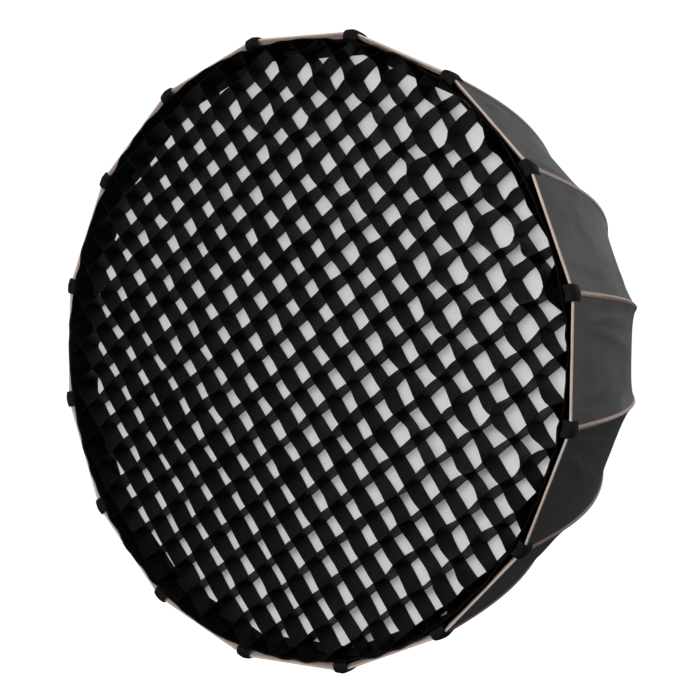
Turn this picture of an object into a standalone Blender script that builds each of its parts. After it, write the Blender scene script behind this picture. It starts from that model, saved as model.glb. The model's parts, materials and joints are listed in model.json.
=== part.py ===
"""Sixteen-rib deep parabolic softbox: speed ring, rotating hub, folding ribs, fabric shell, diffuser and grid.

Metres, +Z up. The light shines along -Y. The origin is the centre of the speed ring's rear mounting face.
Ribs are numbered clockwise as seen from the front, and rib 1 is the one just left of the top.
"""

import math

import bmesh
import bpy
from mathutils import Vector

OBJECT_NAME = "parabolic_softbox"

# Ribs
RIB_COUNT = 16
RIB_STEP = 2 * math.pi / RIB_COUNT
HALF_STEP = RIB_STEP / 2
FIRST_RIB_ANGLE = math.pi / 2 + HALF_STEP
RIM_RADIUS = 0.450
TIP_ANGLE = math.radians(9.5)
ROOT_ANGLE = math.radians(82.0)
ROD_RADIUS = 0.0022
CURVE_STEPS = 400

# Speed ring, hub and hinges
BORE_RADIUS = 0.0445
FLANGE_RADIUS = 0.080
FLANGE_THICKNESS = 0.006
BARREL_RADIUS = 0.0478
LUG_RADIUS = 0.0500
LUG_COUNT = 3
JOURNAL_RADIUS = 0.0470
JOURNAL_FRONT = -0.0200
CLIP_GROOVE_RADIUS = 0.0458
HUB_RADIUS = 0.082
HUB_REAR = -0.0063
HUB_FRONT = -0.0385
HUB_CAVITY_FLOOR = -0.0150
HINGE_RADIUS = 0.066
HINGE_Y = -0.034
HINGE_WIRE_RADIUS = 0.0015
WIRE_CLEARANCE = 0.0005
COVER_THICKNESS = 0.0025
RUNNER_INNER = 0.0545
RUNNER_OUTER = 0.0610
RUNNER_FRONT = -0.0290
RUNNER_LENGTH = 0.006
LEVER_WIDTH = 0.005
LEVER_THICKNESS = 0.006
LEVER_HEEL = 0.0115
LEVER_REACH = 0.0205
SLOT_WIDTH = 0.0058
SLOT_REAR = -0.0248
ROUND_STEPS = 48

# Fabric
FABRIC_THICKNESS = 0.0012
SHELL_OFFSET = 0.0028
SHELL_STATIONS = 15
SHELL_FRONT_LIP = 0.0005
SHELL_REAR_RADIUS = 0.0885
POCKET_WIDTH = 0.024
POCKET_LENGTH = 0.021
POCKET_WALL = 0.0032
POCKET_FRONT_REACH = 0.0085

# Diffuser and grid
GRID_RADIUS = 0.4405
GRID_PROUD = 0.006
GRID_DEPTH = 0.040
GRID_WALL = 0.0025
DIFFUSER_RADIUS = 0.4390
DIFFUSER_THICKNESS = 0.0010
DIFFUSER_HEM = 0.008

GAP = 0.0003
SEAM_GAP = 0.00015
MERGE = 0.00001


def rib_curve():
    """Points (radius, y, angle from the axis) from the hinge to the tip, with the rod bent most at its root."""
    angles = [
        TIP_ANGLE + (ROOT_ANGLE - TIP_ANGLE) * (1 - (i + 0.5) / CURVE_STEPS) ** 2 for i in range(CURVE_STEPS)
    ]
    step = (RIM_RADIUS - HINGE_RADIUS) / sum(math.sin(a) for a in angles)
    radius, y = HINGE_RADIUS, HINGE_Y
    points = [(radius, y, ROOT_ANGLE)]
    for a in angles:
        radius += step * math.sin(a)
        y -= step * math.cos(a)
        points.append((radius, y, a))
    return points, step


RIB_POINTS, RIB_STEP_LENGTH = rib_curve()
RIB_LENGTH = RIB_STEP_LENGTH * CURVE_STEPS
RIM_Y = RIB_POINTS[-1][1]


def on_rib(distance, outward=0.0):
    """Radius and y of the point at a distance along the rib from its hinge, moved out of the bowl by outward."""
    at = min(max(distance / RIB_STEP_LENGTH, 0), CURVE_STEPS)
    low = min(int(at), CURVE_STEPS - 1)
    a, b = RIB_POINTS[low], RIB_POINTS[low + 1]
    radius, y, angle = (a[i] + (b[i] - a[i]) * (at - low) for i in range(3))
    beyond = distance - at * RIB_STEP_LENGTH
    radius += beyond * math.sin(angle) + outward * math.cos(angle)
    y += outward * math.sin(angle) - beyond * math.cos(angle)
    return radius, y


def shell_stations():
    """Distances along the rib from the shell's rear edge to the rib's tip. Rod and shell share them, so that
    their straight stretches lie along each other."""
    rear = 0.0
    while on_rib(rear, SHELL_OFFSET)[0] < SHELL_REAR_RADIUS:
        rear += 0.0005
    return [rear + (RIB_LENGTH - rear) * i / (SHELL_STATIONS - 1) for i in range(SHELL_STATIONS)]


def clear_scene():
    for obj in list(bpy.data.objects):
        bpy.data.objects.remove(obj, do_unlink=True)


def make_collection(name):
    collection = bpy.data.collections.new(name)
    bpy.context.scene.collection.children.link(collection)
    return collection


clear_scene()
PARTS = make_collection(OBJECT_NAME)
CUTTERS = make_collection("cutters")
SLOT_CUTTERS = make_collection("hub_slot_cutters")
COVER_CUTTERS = make_collection("cover_slot_cutters")
LUG_CUTTERS = make_collection("lug_cutters")


def material(name, colour, roughness, metallic=0.0):
    made = bpy.data.materials.new(name)
    made.use_nodes = True
    shader = made.node_tree.nodes["Principled BSDF"]
    shader.inputs["Base Color"].default_value = (*colour, 1.0)
    shader.inputs["Roughness"].default_value = roughness
    shader.inputs["Metallic"].default_value = metallic
    return made


ANODISED = material("anodised_black", (0.03, 0.03, 0.032), 0.45, 0.8)
HUB_PLASTIC = material("hub_plastic", (0.025, 0.025, 0.027), 0.5)
SPRING_STEEL = material("spring_steel", (0.35, 0.35, 0.36), 0.3, 1.0)
ROD_BLACK = material("rod_black", (0.03, 0.03, 0.03), 0.4, 0.7)
SHELL_FABRIC = material("shell_fabric", (0.05, 0.05, 0.055), 0.6)
POCKET_WEBBING = material("pocket_webbing", (0.012, 0.012, 0.012), 0.8)
DIFFUSER_CLOTH = material("diffuser_cloth", (0.85, 0.85, 0.84), 0.9)
GRID_CLOTH = material("grid_cloth", (0.01, 0.01, 0.01), 0.85)


def add_object(name, data, collection, surface=None, smooth=False):
    obj = bpy.data.objects.new(name, data)
    collection.objects.link(obj)
    if surface is not None and not data.materials:
        data.materials.append(surface)
    if smooth:
        data.shade_smooth()
    return obj


def hide_cutter(obj):
    obj.hide_render = True
    obj.display_type = "WIRE"
    return obj


def turned(name, profile, collection, surface=None, steps=ROUND_STEPS, loop=True):
    """A profile of (radius, y) points turned about the Y axis. It runs down its outer side, rear to front."""
    mesh = bpy.data.meshes.new(name)
    count = len(profile)
    edges = [(i, (i + 1) % count) for i in range(count if loop else count - 1)]
    mesh.from_pydata([(r, y, 0) for r, y in profile], edges, [])
    obj = add_object(name, mesh, collection, surface)
    screw = obj.modifiers.new("turn", "SCREW")
    screw.axis = "Y"
    screw.steps = steps
    screw.render_steps = steps
    screw.use_merge_vertices = True
    screw.merge_threshold = MERGE
    screw.use_smooth_shade = steps == ROUND_STEPS
    return obj


def box(name, size, centre, collection):
    bm = bmesh.new()
    bmesh.ops.create_cube(bm, size=1.0)
    bmesh.ops.scale(bm, vec=size, verts=bm.verts)
    bmesh.ops.translate(bm, vec=centre, verts=bm.verts)
    mesh = bpy.data.meshes.new(name)
    bm.to_mesh(mesh)
    bm.free()
    return add_object(name, mesh, collection)


def boolean(obj, operation, cutter=None, collection=None):
    modifier = obj.modifiers.new(operation.lower(), "BOOLEAN")
    modifier.operation = operation
    modifier.solver = "EXACT"
    if collection is not None:
        modifier.operand_type = "COLLECTION"
        modifier.collection = collection
    else:
        modifier.object = cutter


def evaluated_mesh(obj, name):
    """The object's shape with its modifiers applied, as a mesh for several objects to share."""
    bpy.context.view_layer.update()
    graph = bpy.context.evaluated_depsgraph_get()
    mesh = bpy.data.meshes.new_from_object(obj.evaluated_get(graph), depsgraph=graph)
    mesh.name = name
    return mesh


def weld(mesh):
    bm = bmesh.new()
    bm.from_mesh(mesh)
    bmesh.ops.remove_doubles(bm, verts=bm.verts, dist=MERGE)
    bmesh.ops.recalc_face_normals(bm, faces=bm.faces)
    bm.to_mesh(mesh)
    bm.free()


def make_speed_ring():
    """Bayonet ring with three lugs behind a flange, and a journal in front that the hub turns on."""
    barrel_end = 0.0135
    lug_rear, lug_front = 0.0130, 0.0085
    profile = [
        (BARREL_RADIUS, barrel_end),
        (LUG_RADIUS, lug_rear),
        (LUG_RADIUS, lug_front),
        (BARREL_RADIUS, lug_front),
        (BARREL_RADIUS, 0),
        (FLANGE_RADIUS, 0),
        (FLANGE_RADIUS, -FLANGE_THICKNESS),
        (JOURNAL_RADIUS, -FLANGE_THICKNESS),
        (JOURNAL_RADIUS, HUB_CAVITY_FLOOR),
        (CLIP_GROOVE_RADIUS, HUB_CAVITY_FLOOR),
        (CLIP_GROOVE_RADIUS, HUB_CAVITY_FLOOR - 0.002),
        (JOURNAL_RADIUS, HUB_CAVITY_FLOOR - 0.002),
        (JOURNAL_RADIUS, JOURNAL_FRONT),
        (BORE_RADIUS, JOURNAL_FRONT),
        (BORE_RADIUS, barrel_end),
    ]
    ring = turned("speed_ring", profile, PARTS, ANODISED)
    # three flats in each space between lugs leave lugs of about 45 degrees
    for lug in range(LUG_COUNT):
        for side in (-1, 0, 1):
            cutter = box(
                f"lug_gap_{lug + 1}_{side + 2}",
                (0.008, 0.007, 0.030),
                (BARREL_RADIUS + 0.0001 + 0.004, 0.01075, 0),
                LUG_CUTTERS,
            )
            hide_cutter(cutter)
            cutter.rotation_euler = (0, -(lug * 2 * math.pi / LUG_COUNT + side * math.radians(22)), 0)
    boolean(ring, "DIFFERENCE", collection=LUG_CUTTERS)


def slot_cutters(name, inner, rear, front, collection):
    """One radial slot for each rib's lever."""
    outer = HUB_RADIUS + 0.010
    for index in range(RIB_COUNT):
        size = (outer - inner, rear - front, SLOT_WIDTH)
        centre = ((outer + inner) / 2, (rear + front) / 2, 0)
        cutter = hide_cutter(box(f"{name}_{index + 1:02d}", size, centre, collection))
        cutter.rotation_euler = (0, -rib_angle(index), 0)


def rib_angle(index):
    return FIRST_RIB_ANGLE - index * RIB_STEP


def make_hub():
    """Hub that turns on the journal. Its slots hold the rib levers, and its groove holds the hinge wire."""
    sleeve_inner, sleeve_outer, sleeve_front = 0.0508, 0.0541, -0.0300
    cavity_outer = RUNNER_OUTER + 0.0004
    flange_front = HUB_CAVITY_FLOOR + 0.0002
    bore = JOURNAL_RADIUS + GAP
    profile = [
        (HUB_RADIUS, HUB_REAR),
        (HUB_RADIUS, HUB_FRONT),
        (cavity_outer, HUB_FRONT),
        (cavity_outer, HUB_CAVITY_FLOOR),
        (sleeve_outer, HUB_CAVITY_FLOOR),
        (sleeve_outer, sleeve_front),
        (sleeve_inner, sleeve_front),
        (sleeve_inner, flange_front),
        (bore, flange_front),
        (bore, HUB_REAR),
    ]
    hub = turned("hub_body", profile, PARTS, HUB_PLASTIC)
    slot_cutters("hub_slot", 0.0575, SLOT_REAR, HUB_FRONT - 0.002, SLOT_CUTTERS)
    boolean(hub, "DIFFERENCE", collection=SLOT_CUTTERS)
    half = HINGE_WIRE_RADIUS + WIRE_CLEARANCE
    groove_front = HUB_FRONT - 0.002
    groove = turned(
        "wire_groove",
        [
            (HINGE_RADIUS + half, HINGE_Y + half),
            (HINGE_RADIUS + half, groove_front),
            (HINGE_RADIUS - half, groove_front),
            (HINGE_RADIUS - half, HINGE_Y + half),
        ],
        CUTTERS,
    )
    hide_cutter(groove)
    boolean(hub, "DIFFERENCE", groove)


def make_hub_cover():
    """Slotted plate that closes the wire groove in front."""
    rear = HUB_FRONT - GAP
    front = rear - COVER_THICKNESS
    profile = [(HUB_RADIUS, rear), (HUB_RADIUS, front), (RUNNER_INNER, front), (RUNNER_INNER, rear)]
    cover = turned("hub_front_cover", profile, PARTS, HUB_PLASTIC)
    slot_cutters("cover_slot", 0.0605, rear + 0.002, front - 0.002, COVER_CUTTERS)
    boolean(cover, "DIFFERENCE", collection=COVER_CUTTERS)


def make_hinge_wire():
    bpy.ops.mesh.primitive_torus_add(
        major_radius=HINGE_RADIUS,
        minor_radius=HINGE_WIRE_RADIUS,
        major_segments=ROUND_STEPS,
        minor_segments=8,
        location=(0, HINGE_Y, 0),
        rotation=(math.pi / 2, 0, 0),
    )
    wire = bpy.context.object
    wire.name = "hinge_wire"
    wire.data.materials.append(SPRING_STEEL)
    wire.data.shade_smooth()
    for collection in list(wire.users_collection):
        collection.objects.unlink(wire)
    PARTS.objects.link(wire)


def make_runner():
    """Ring behind the lever heels. Pushed forwards, it opens all the ribs."""
    rear = RUNNER_FRONT + RUNNER_LENGTH
    profile = [
        (RUNNER_OUTER, rear),
        (RUNNER_OUTER, RUNNER_FRONT),
        (RUNNER_INNER, RUNNER_FRONT),
        (RUNNER_INNER, rear),
    ]
    turned("runner_ring", profile, PARTS, ANODISED)


def make_retaining_clip():
    """Snap ring in the journal's groove, which keeps the hub on the speed ring."""
    rear, front = HUB_CAVITY_FLOOR - 0.0002, HUB_CAVITY_FLOOR - 0.0018
    inner, outer = CLIP_GROOVE_RADIUS + GAP, 0.0503
    turned("retaining_clip", [(outer, rear), (outer, front), (inner, front), (inner, rear)], PARTS, SPRING_STEEL)


def make_rear_cuff():
    """Elastic sleeve round the hub, with a lip that reaches the shell's rear opening."""
    inner = HUB_RADIUS + 0.0004
    outer = inner + FABRIC_THICKNESS
    rear, neck, lip = -0.0085, -0.0270, -0.0312
    lip_radius = SHELL_REAR_RADIUS - 0.001
    profile = [
        (outer, rear),
        (outer, neck),
        (lip_radius, lip + FABRIC_THICKNESS),
        (lip_radius, lip),
        (lip_radius - FABRIC_THICKNESS, lip),
        (inner, neck - 0.0006),
        (inner, rear),
    ]
    turned("rear_cuff", profile, PARTS, SHELL_FABRIC)


def make_diffuser():
    """Sixteen-sided cloth with a thicker hem, behind the grid."""
    front = RIM_Y - GRID_PROUD + GRID_DEPTH + GAP
    membrane_rear = front + DIFFUSER_THICKNESS
    hem_rear = front + DIFFUSER_HEM
    hem_inner = DIFFUSER_RADIUS - 0.006
    profile = [
        (0, membrane_rear),
        (hem_inner, membrane_rear),
        (hem_inner, hem_rear),
        (DIFFUSER_RADIUS, hem_rear),
        (DIFFUSER_RADIUS, front),
        (0, front),
    ]
    diffuser = turned("front_diffuser", profile, PARTS, DIFFUSER_CLOTH, steps=RIB_COUNT, loop=False)
    diffuser.rotation_euler = (0, -HALF_STEP, 0)


def make_grid():
    """Outer form of the egg-crate grid: its border band and a thin sheet across its back."""
    front = RIM_Y - GRID_PROUD
    rear = front + GRID_DEPTH
    floor_front = rear - DIFFUSER_THICKNESS
    inner = GRID_RADIUS - GRID_WALL
    profile = [
        (0, rear),
        (GRID_RADIUS, rear),
        (GRID_RADIUS, front),
        (inner, front),
        (inner, floor_front),
        (0, floor_front),
    ]
    grid = turned("egg_crate_grid", profile, PARTS, GRID_CLOTH, steps=RIB_COUNT, loop=False)
    grid.rotation_euler = (0, -HALF_STEP, 0)


def rod_object():
    """The rod from inside its lever to its tip, in the hinge's frame: X outwards, Y rearwards."""
    distances = [LEVER_REACH - 0.010] + shell_stations()
    curve = bpy.data.curves.new("rod", "CURVE")
    curve.dimensions = "3D"
    curve.bevel_depth = ROD_RADIUS
    curve.bevel_resolution = 2
    curve.use_fill_caps = True
    spline = curve.splines.new("POLY")
    spline.points.add(len(distances) - 1)
    for point, distance in zip(spline.points, distances):
        radius, y = on_rib(distance)
        point.co = (radius - HINGE_RADIUS, y - HINGE_Y, 0, 1)
    outline = add_object("rod_curve", curve, CUTTERS)
    mesh = evaluated_mesh(outline, "rod")
    weld(mesh)
    bpy.data.objects.remove(outline, do_unlink=True)
    return hide_cutter(add_object("rod", mesh, CUTTERS))


def rib_mesh():
    """Root lever with its hinge bore, joined to the rod."""
    length = LEVER_HEEL + LEVER_REACH
    lever = box("lever", (length, LEVER_THICKNESS, LEVER_WIDTH), ((LEVER_REACH - LEVER_HEEL) / 2, 0, 0), CUTTERS)
    lever.data.transform(lever.matrix_world.Rotation(ROOT_ANGLE - math.pi / 2, 4, "Z"))
    boolean(lever, "UNION", rod_object())
    bm = bmesh.new()
    bmesh.ops.create_cone(
        bm,
        cap_ends=True,
        segments=12,
        radius1=HINGE_WIRE_RADIUS + WIRE_CLEARANCE,
        radius2=HINGE_WIRE_RADIUS + WIRE_CLEARANCE,
        depth=2 * LEVER_WIDTH,
    )
    bore_mesh = bpy.data.meshes.new("hinge_bore")
    bm.to_mesh(bore_mesh)
    bm.free()
    boolean(lever, "DIFFERENCE", hide_cutter(add_object("hinge_bore", bore_mesh, CUTTERS)))
    hide_cutter(lever)
    mesh = evaluated_mesh(lever, "rib")
    mesh.materials.clear()
    mesh.materials.append(ROD_BLACK)
    return mesh


def shell_mesh():
    """Half a gore on each side of a rib, straight between the ribs, in the hinge's frame."""
    distances = shell_stations()
    distances[-1] += SHELL_FRONT_LIP
    mesh = bpy.data.meshes.new("shell_sector")
    bm = bmesh.new()
    rows = []
    for distance in distances:
        radius, y = on_rib(distance, SHELL_OFFSET)
        crest = Vector((radius, y, 0))
        middle = Vector((radius * math.cos(HALF_STEP) ** 2, y, radius * math.sin(RIB_STEP) / 2))
        side = crest.lerp(middle, 1 - SEAM_GAP / (middle - crest).length)
        hinge = Vector((HINGE_RADIUS, HINGE_Y, 0))
        across = [Vector((side.x, side.y, -side.z)), crest, side]
        rows.append([bm.verts.new(point - hinge) for point in across])
    for low, high in zip(rows, rows[1:]):
        for a, b in ((0, 1), (1, 2)):
            bm.faces.new((low[a], low[b], high[b], high[a]))
    bm.to_mesh(mesh)
    bm.free()
    surface = add_object("shell_surface", mesh, CUTTERS)
    solid = surface.modifiers.new("cloth", "SOLIDIFY")
    solid.thickness = FABRIC_THICKNESS
    solid.offset = 1.0
    made = evaluated_mesh(surface, "shell_sector_solid")
    bpy.data.objects.remove(surface, do_unlink=True)
    made.materials.append(SHELL_FABRIC)
    return made


def pocket_mesh():
    """L-shaped cap sewn over the rib's tip: one wall outside the shell and one in front of the rod's end."""
    inner = SHELL_OFFSET + FABRIC_THICKNESS + GAP
    outer = inner + POCKET_WALL
    rear = RIB_LENGTH - POCKET_LENGTH
    cap_rear = RIB_LENGTH + SHELL_FRONT_LIP + GAP
    cap_front = cap_rear + POCKET_WALL
    outline = [
        (rear, outer),
        (rear, inner),
        (cap_rear, inner),
        (cap_rear, -POCKET_FRONT_REACH),
        (cap_front, -POCKET_FRONT_REACH),
        (cap_front, outer),
    ]
    curve = bpy.data.curves.new("tip_pocket", "CURVE")
    curve.dimensions = "2D"
    curve.fill_mode = "BOTH"
    curve.extrude = POCKET_WIDTH / 2
    spline = curve.splines.new("POLY")
    spline.points.add(len(outline) - 1)
    for point, (distance, outward) in zip(spline.points, outline):
        radius, y = on_rib(distance, outward)
        point.co = (radius - HINGE_RADIUS, y - HINGE_Y, 0, 1)
    spline.use_cyclic_u = True
    shape = add_object("pocket_curve", curve, CUTTERS)
    mesh = evaluated_mesh(shape, "tip_pocket")
    weld(mesh)
    bpy.data.objects.remove(shape, do_unlink=True)
    mesh.materials.append(POCKET_WEBBING)
    return mesh


def make_ribs():
    """Each rib's rod, its share of the shell and its tip pocket hang on an empty on the rib's hinge axis."""
    rib, shell, pocket = rib_mesh(), shell_mesh(), pocket_mesh()
    for index in range(RIB_COUNT):
        angle = rib_angle(index)
        pivot = add_object(f"rib_{index + 1:02d}_pivot", None, PARTS)
        pivot.location = (HINGE_RADIUS * math.cos(angle), HINGE_Y, HINGE_RADIUS * math.sin(angle))
        pivot.rotation_euler = (0, -angle, 0)
        for name, mesh in (("rib", rib), ("shell_sector", shell), ("tip_pocket", pocket)):
            piece = add_object(f"{name}_{index + 1:02d}", mesh, PARTS)
            piece.parent = pivot


make_speed_ring()
make_hub()
make_hub_cover()
make_hinge_wire()
make_runner()
make_retaining_clip()
make_rear_cuff()
make_diffuser()
make_grid()
make_ribs()
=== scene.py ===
"""Looks of the parabolic softbox: shell with bound seams, egg-crate grid, diffuser, pockets and hub."""
import json
import math

import bpy
import numpy as np
from mathutils import Matrix, Vector

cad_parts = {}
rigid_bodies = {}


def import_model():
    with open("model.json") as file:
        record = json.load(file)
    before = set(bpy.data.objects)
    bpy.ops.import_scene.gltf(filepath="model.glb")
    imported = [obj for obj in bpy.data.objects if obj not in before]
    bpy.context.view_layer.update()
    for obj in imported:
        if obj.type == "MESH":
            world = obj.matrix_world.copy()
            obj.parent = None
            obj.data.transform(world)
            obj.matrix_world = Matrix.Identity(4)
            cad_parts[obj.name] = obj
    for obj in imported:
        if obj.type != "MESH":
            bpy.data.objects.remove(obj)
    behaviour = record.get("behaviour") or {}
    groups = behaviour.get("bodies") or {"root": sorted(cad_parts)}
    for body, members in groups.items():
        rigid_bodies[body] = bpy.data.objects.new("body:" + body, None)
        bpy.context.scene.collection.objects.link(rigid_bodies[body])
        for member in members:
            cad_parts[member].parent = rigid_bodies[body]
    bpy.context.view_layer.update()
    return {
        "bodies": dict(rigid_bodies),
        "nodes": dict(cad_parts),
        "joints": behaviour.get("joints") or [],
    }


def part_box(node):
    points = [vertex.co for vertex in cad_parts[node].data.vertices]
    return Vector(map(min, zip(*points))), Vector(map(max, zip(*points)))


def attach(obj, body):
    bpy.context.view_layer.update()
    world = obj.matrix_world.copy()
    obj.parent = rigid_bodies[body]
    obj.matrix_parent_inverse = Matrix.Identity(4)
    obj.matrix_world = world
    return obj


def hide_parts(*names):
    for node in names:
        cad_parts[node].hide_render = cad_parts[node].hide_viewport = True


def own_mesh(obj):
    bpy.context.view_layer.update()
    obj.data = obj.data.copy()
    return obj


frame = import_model()

# Layout, from the frame's joints and boxes
RIB_NAMES = sorted(name for name in frame["bodies"] if name.startswith("rib_"))
JOINTS = {joint["name"]: joint for joint in frame["joints"]}
RIB_COUNT = len(RIB_NAMES)
RIB_STEP = 2 * math.pi / RIB_COUNT
HALF_STEP = RIB_STEP / 2
HINGES = [Vector(JOINTS[f"{name}_fold"]["pos_m"]) for name in RIB_NAMES]
RIB_ANGLES = [math.atan2(hinge.z, hinge.x) for hinge in HINGES]
HINGE_RADIUS = math.hypot(HINGES[0].x, HINGES[0].z)
HINGE_Y = HINGES[0].y
FOLD_ANGLE = math.radians(JOINTS["rib_01_fold"]["range_deg"][1])
GRID_LOW, GRID_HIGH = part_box("egg_crate_grid")
GRID_FRONT, GRID_REAR = GRID_LOW.y, GRID_HIGH.y
GRID_RADIUS = GRID_HIGH.x / math.cos(HALF_STEP)
DIFFUSER_LOW, DIFFUSER_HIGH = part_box("front_diffuser")
DIFFUSER_RADIUS = DIFFUSER_HIGH.x / math.cos(HALF_STEP)

# Rib curve, as the ribs are bent
RIM_RADIUS = 0.450
TIP_ANGLE = math.radians(9.5)
ROOT_ANGLE = math.radians(82.0)
SHELL_REAR_RADIUS = 0.0885
SHELL_INNER = 0.0028
CLOTH = 0.0009
BINDING_WIDTH = 0.0076
POCKET_LENGTH = 0.021
POCKET_WIDTH = 0.024

RANDOM_SEED = 16


# ---------------------------------------------------------------- rib curve

def rib_curve(steps=800):
    """Distance from the hinge, radius, y and angle from the axis, in arrays along one rib."""
    share = (np.arange(steps) + 0.5) / steps
    angle = TIP_ANGLE + (ROOT_ANGLE - TIP_ANGLE) * (1 - share) ** 2
    step = (RIM_RADIUS - HINGE_RADIUS) / np.sin(angle).sum()
    radius = HINGE_RADIUS + step * np.concatenate([[0], np.cumsum(np.sin(angle))])
    y = HINGE_Y - step * np.concatenate([[0], np.cumsum(np.cos(angle))])
    edges = np.arange(steps + 1) / steps
    return step * np.arange(steps + 1), radius, y, TIP_ANGLE + (ROOT_ANGLE - TIP_ANGLE) * (1 - edges) ** 2


ALONG, RIB_R, RIB_Y, RIB_PHI = rib_curve()
RIB_LENGTH = ALONG[-1]
RIM_Y = RIB_Y[-1]
REAR = float(np.interp(SHELL_REAR_RADIUS, RIB_R, ALONG))


def crest(distance, outward):
    """Radius, y and angle of points over a rib, by distance from its hinge and height off its centreline."""
    distance = np.asarray(distance, float)
    beyond = np.maximum(distance - RIB_LENGTH, 0)
    angle = np.interp(distance, ALONG, RIB_PHI)
    radius = np.interp(distance, ALONG, RIB_R) + beyond * math.sin(TIP_ANGLE) + outward * np.cos(angle)
    y = np.interp(distance, ALONG, RIB_Y) - beyond * math.cos(TIP_ANGLE) + outward * np.sin(angle)
    return radius, y, angle


def bend(distance):
    """How sharply a rib bends, in radians per metre."""
    share = np.clip(np.asarray(distance, float) / RIB_LENGTH, 0, 1)
    return 2 * (ROOT_ANGLE - TIP_ANGLE) * (1 - share) / RIB_LENGTH


# ---------------------------------------------------------------- meshes

def new_object(name, points, faces, materials=(), smooth=True):
    mesh = bpy.data.meshes.new(name)
    mesh.from_pydata([tuple(map(float, p)) for p in points], [], faces)
    for surface in materials:
        mesh.materials.append(surface)
    if smooth:
        mesh.shade_smooth()
    mesh.validate()
    obj = bpy.data.objects.new(name, mesh)
    bpy.context.scene.collection.objects.link(obj)
    return obj


def set_cloth(obj, coordinates):
    """Stores (across, along) metres of the flat cloth at each vertex, for the weave."""
    layer = obj.data.attributes.new("cloth", "FLOAT_VECTOR", "POINT")
    flat = np.zeros((len(obj.data.vertices), 3), np.float32)
    flat[:, :2] = coordinates
    layer.data.foreach_set("vector", flat.ravel())


def grid_faces(rows, columns, start=0, flip=False, closed=False):
    faces = []
    for r in range(rows - 1):
        for c in range(columns if closed else columns - 1):
            d = (c + 1) % columns
            face = (r * columns + c, r * columns + d, (r + 1) * columns + d, (r + 1) * columns + c)
            face = tuple(start + i for i in face)
            faces.append(face[::-1] if flip else face)
    return faces


def two_sided(name, outer, inner, flat, materials):
    """A closed sheet between two grids of points, rows by columns. Its inner side has the second material."""
    rows, columns = outer.shape[:2]
    points = np.concatenate([outer.reshape(-1, 3), inner.reshape(-1, 3)])
    count = rows * columns
    faces = grid_faces(rows, columns)
    front = len(faces)
    faces += grid_faces(rows, columns, count, flip=True)
    back = len(faces)
    rim = [(0, c) for c in range(columns)] + [(r, columns - 1) for r in range(1, rows)]
    rim += [(rows - 1, c) for c in range(columns - 2, -1, -1)] + [(r, 0) for r in range(rows - 2, 0, -1)]
    ring = [r * columns + c for r, c in rim]
    for a, b in zip(ring, ring[1:] + ring[:1]):
        faces.append((b, a, a + count, b + count))
    obj = new_object(name, points, faces, materials)
    index = np.zeros(len(obj.data.polygons), np.int32)
    if len(materials) > 1:
        index[front:back] = 1
    obj.data.polygons.foreach_set("material_index", index)
    set_cloth(obj, np.concatenate([flat.reshape(-1, 2)] * 2))
    mark_sharp(obj, math.radians(50))
    return obj


def mark_sharp(obj, angle):
    obj.data.set_sharp_from_angle(angle=angle)


def swept(name, sections, materials, flat=None, cyclic=False):
    """A closed tube through closed sections, rows by columns by 3, with flat caps unless it is cyclic."""
    rows, columns = sections.shape[:2]
    faces = grid_faces(rows, columns, closed=True)
    if cyclic:
        last = (rows - 1) * columns
        faces += [(last + c, last + (c + 1) % columns, (c + 1) % columns, c) for c in range(columns)]
    else:
        faces += [tuple(reversed(range(columns))), tuple((rows - 1) * columns + c for c in range(columns))]
    obj = new_object(name, sections.reshape(-1, 3), faces, materials)
    if flat is not None:
        set_cloth(obj, flat.reshape(-1, 2))
    mark_sharp(obj, math.radians(48))
    return obj


# ---------------------------------------------------------------- materials

def nodes_of(name):
    made = bpy.data.materials.new(name)
    made.use_nodes = True
    return made, made.node_tree, made.node_tree.nodes["Principled BSDF"]


def link(tree, a, b):
    tree.links.new(a, b)


def math_node(tree, operation, a, b=None):
    node = tree.nodes.new("ShaderNodeMath")
    node.operation = operation
    for socket, value in zip(node.inputs, (a, b)):
        if value is None:
            continue
        if hasattr(value, "is_linked"):
            link(tree, value, socket)
        else:
            socket.default_value = value
    return node.outputs[0]


def noise(tree, vector, scale, detail=3.0, roughness=0.5):
    node = tree.nodes.new("ShaderNodeTexNoise")
    node.inputs["Scale"].default_value = scale
    node.inputs["Detail"].default_value = detail
    node.inputs["Roughness"].default_value = roughness
    link(tree, vector, node.inputs["Vector"])
    return node.outputs["Fac"]


def ramp(tree, value, low, high, low_colour, high_colour):
    node = tree.nodes.new("ShaderNodeMapRange")
    node.inputs["From Min"].default_value = low
    node.inputs["From Max"].default_value = high
    link(tree, value, node.inputs["Value"])
    mix = tree.nodes.new("ShaderNodeMix")
    mix.data_type = "RGBA"
    mix.inputs["A"].default_value = (*low_colour, 1)
    mix.inputs["B"].default_value = (*high_colour, 1)
    link(tree, node.outputs["Result"], mix.inputs["Factor"])
    return mix.outputs["Result"]


def map_range(tree, value, low, high, to_low, to_high):
    node = tree.nodes.new("ShaderNodeMapRange")
    for socket, number in zip(("From Min", "From Max", "To Min", "To Max"), (low, high, to_low, to_high)):
        node.inputs[socket].default_value = number
    link(tree, value, node.inputs["Value"])
    return node.outputs["Result"]


def bump(tree, shader, height, strength, distance):
    node = tree.nodes.new("ShaderNodeBump")
    node.inputs["Strength"].default_value = strength
    node.inputs["Distance"].default_value = distance
    link(tree, height, node.inputs["Height"])
    link(tree, node.outputs["Normal"], shader.inputs["Normal"])


def wave(tree, distance, pitch):
    return math_node(tree, "SINE", math_node(tree, "MULTIPLY", distance, 2 * math.pi / pitch))


def weighted(tree, first, first_share, second, second_share):
    """Sum of two values, each times its share."""
    scaled = [
        math_node(tree, "MULTIPLY", value, share)
        for value, share in ((first, first_share), (second, second_share))
    ]
    return math_node(tree, "ADD", *scaled)


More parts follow.
